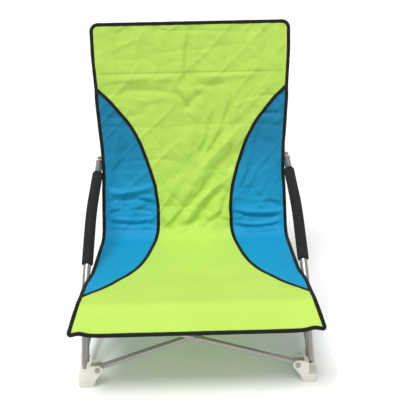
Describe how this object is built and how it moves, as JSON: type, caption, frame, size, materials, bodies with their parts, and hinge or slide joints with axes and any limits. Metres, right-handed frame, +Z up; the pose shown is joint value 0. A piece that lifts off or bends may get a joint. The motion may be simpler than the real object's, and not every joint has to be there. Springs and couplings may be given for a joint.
{
  "type": "folding camp chair",
  "caption": "Low folding camp chair with a cloth sling seat and reclined back, bent arm tubes with foam grips, a front X of crossed bars and a rear spreader.",
  "frame": {"origin": "on the ground under the middle of the whole chair", "axes": "the chair faces -Y, +X is to the right as seen from the front, +Z is up; the sides fold along X"},
  "size_m": [0.505, 0.5768, 0.6444],
  "materials": {
    "steel_tube": "satin grey plated tube",
    "rivet_steel": "domed plated steel",
    "foot_plastic": "cream moulded plastic, light grain",
    "washer_plastic": "black moulded plastic",
    "foam": "matte closed-cell foam",
    "webbing": "ribbed black webbing",
    "back_cloth": "lime polyester with blue side panels, black binding",
    "pocket_cloth": "lime polyester, plain weave",
    "seat_cloth": "lime polyester with blue side panels, black binding"
  },
  "bodies": {
    "left_frame": {"left_arm_tube": "steel_tube", "left_back_post": "steel_tube", "left_side_brace": "steel_tube", "left_front_foot": "foot_plastic", "left_rear_foot": "foot_plastic", "left_arm_joint": "foot_plastic", "left_post_cap": "foot_plastic", "left_arm_grip": "foam", "left_seat_strap": "webbing", "left_pivot_pins": "rivet_steel", "left_frame_rivets": "rivet_steel", "seat_panel": "seat_cloth", "back_panel": "back_cloth", "head_pocket": "pocket_cloth"},
    "front_bar_left": {"front_cross_bar_left": "steel_tube", "right_seat_corner_cap": "foot_plastic", "front_centre_rivet": "rivet_steel", "front_centre_washer": "washer_plastic"},
    "front_bar_right": {"front_cross_bar_right": "steel_tube", "left_seat_corner_cap": "foot_plastic"},
    "right_frame": {"right_arm_tube": "steel_tube", "right_back_post": "steel_tube", "right_side_brace": "steel_tube", "right_front_foot": "foot_plastic", "right_rear_foot": "foot_plastic", "right_arm_joint": "foot_plastic", "right_post_cap": "foot_plastic", "right_arm_grip": "foam", "right_seat_strap": "webbing", "right_pivot_pins": "rivet_steel", "right_frame_rivets": "rivet_steel"},
    "rear_bar_left": {"rear_spreader_left": "steel_tube", "rear_centre_rivet": "rivet_steel", "rear_centre_washer": "washer_plastic"},
    "rear_bar_right": {"rear_spreader_right": "steel_tube"}
  },
  "joints": [
    {"name": "fold", "type": "hinge", "parent": "left_frame", "child": "front_bar_left", "pos_m": [-0.205, -0.2304, 0.043], "axis": [0, -1, 0], "range_deg": [0, 62], "deforming": ["seat_panel", "back_panel", "head_pocket"]},
    {"name": "front_cross", "type": "hinge", "parent": "front_bar_left", "child": "front_bar_right", "pos_m": [0, -0.2304, 0.114], "axis": [0, -1, 0], "range_deg": [-124, 0]},
    {"name": "right_frame_pivot", "type": "hinge", "parent": "front_bar_right", "child": "right_frame", "pos_m": [0.205, -0.2304, 0.043], "axis": [0, -1, 0], "range_deg": [0, 62]},
    {"name": "rear_fold", "type": "hinge", "parent": "left_frame", "child": "rear_bar_left", "pos_m": [-0.205, 0.11873, 0.03065], "axis": [0, -0.9563, 0.2924], "range_deg": [0, 62]},
    {"name": "rear_cross", "type": "hinge", "parent": "rear_bar_left", "child": "rear_bar_right", "pos_m": [0, 0.13949, 0.09855], "axis": [0, -0.9563, 0.2924], "range_deg": [-124, 0]}
  ],
  "couplings": [
    {"joint": "front_cross", "follows": "fold", "ratio": -2},
    {"joint": "right_frame_pivot", "follows": "fold", "ratio": 1},
    {"joint": "rear_fold", "follows": "fold", "ratio": 1},
    {"joint": "rear_cross", "follows": "fold", "ratio": -2}
  ]
}
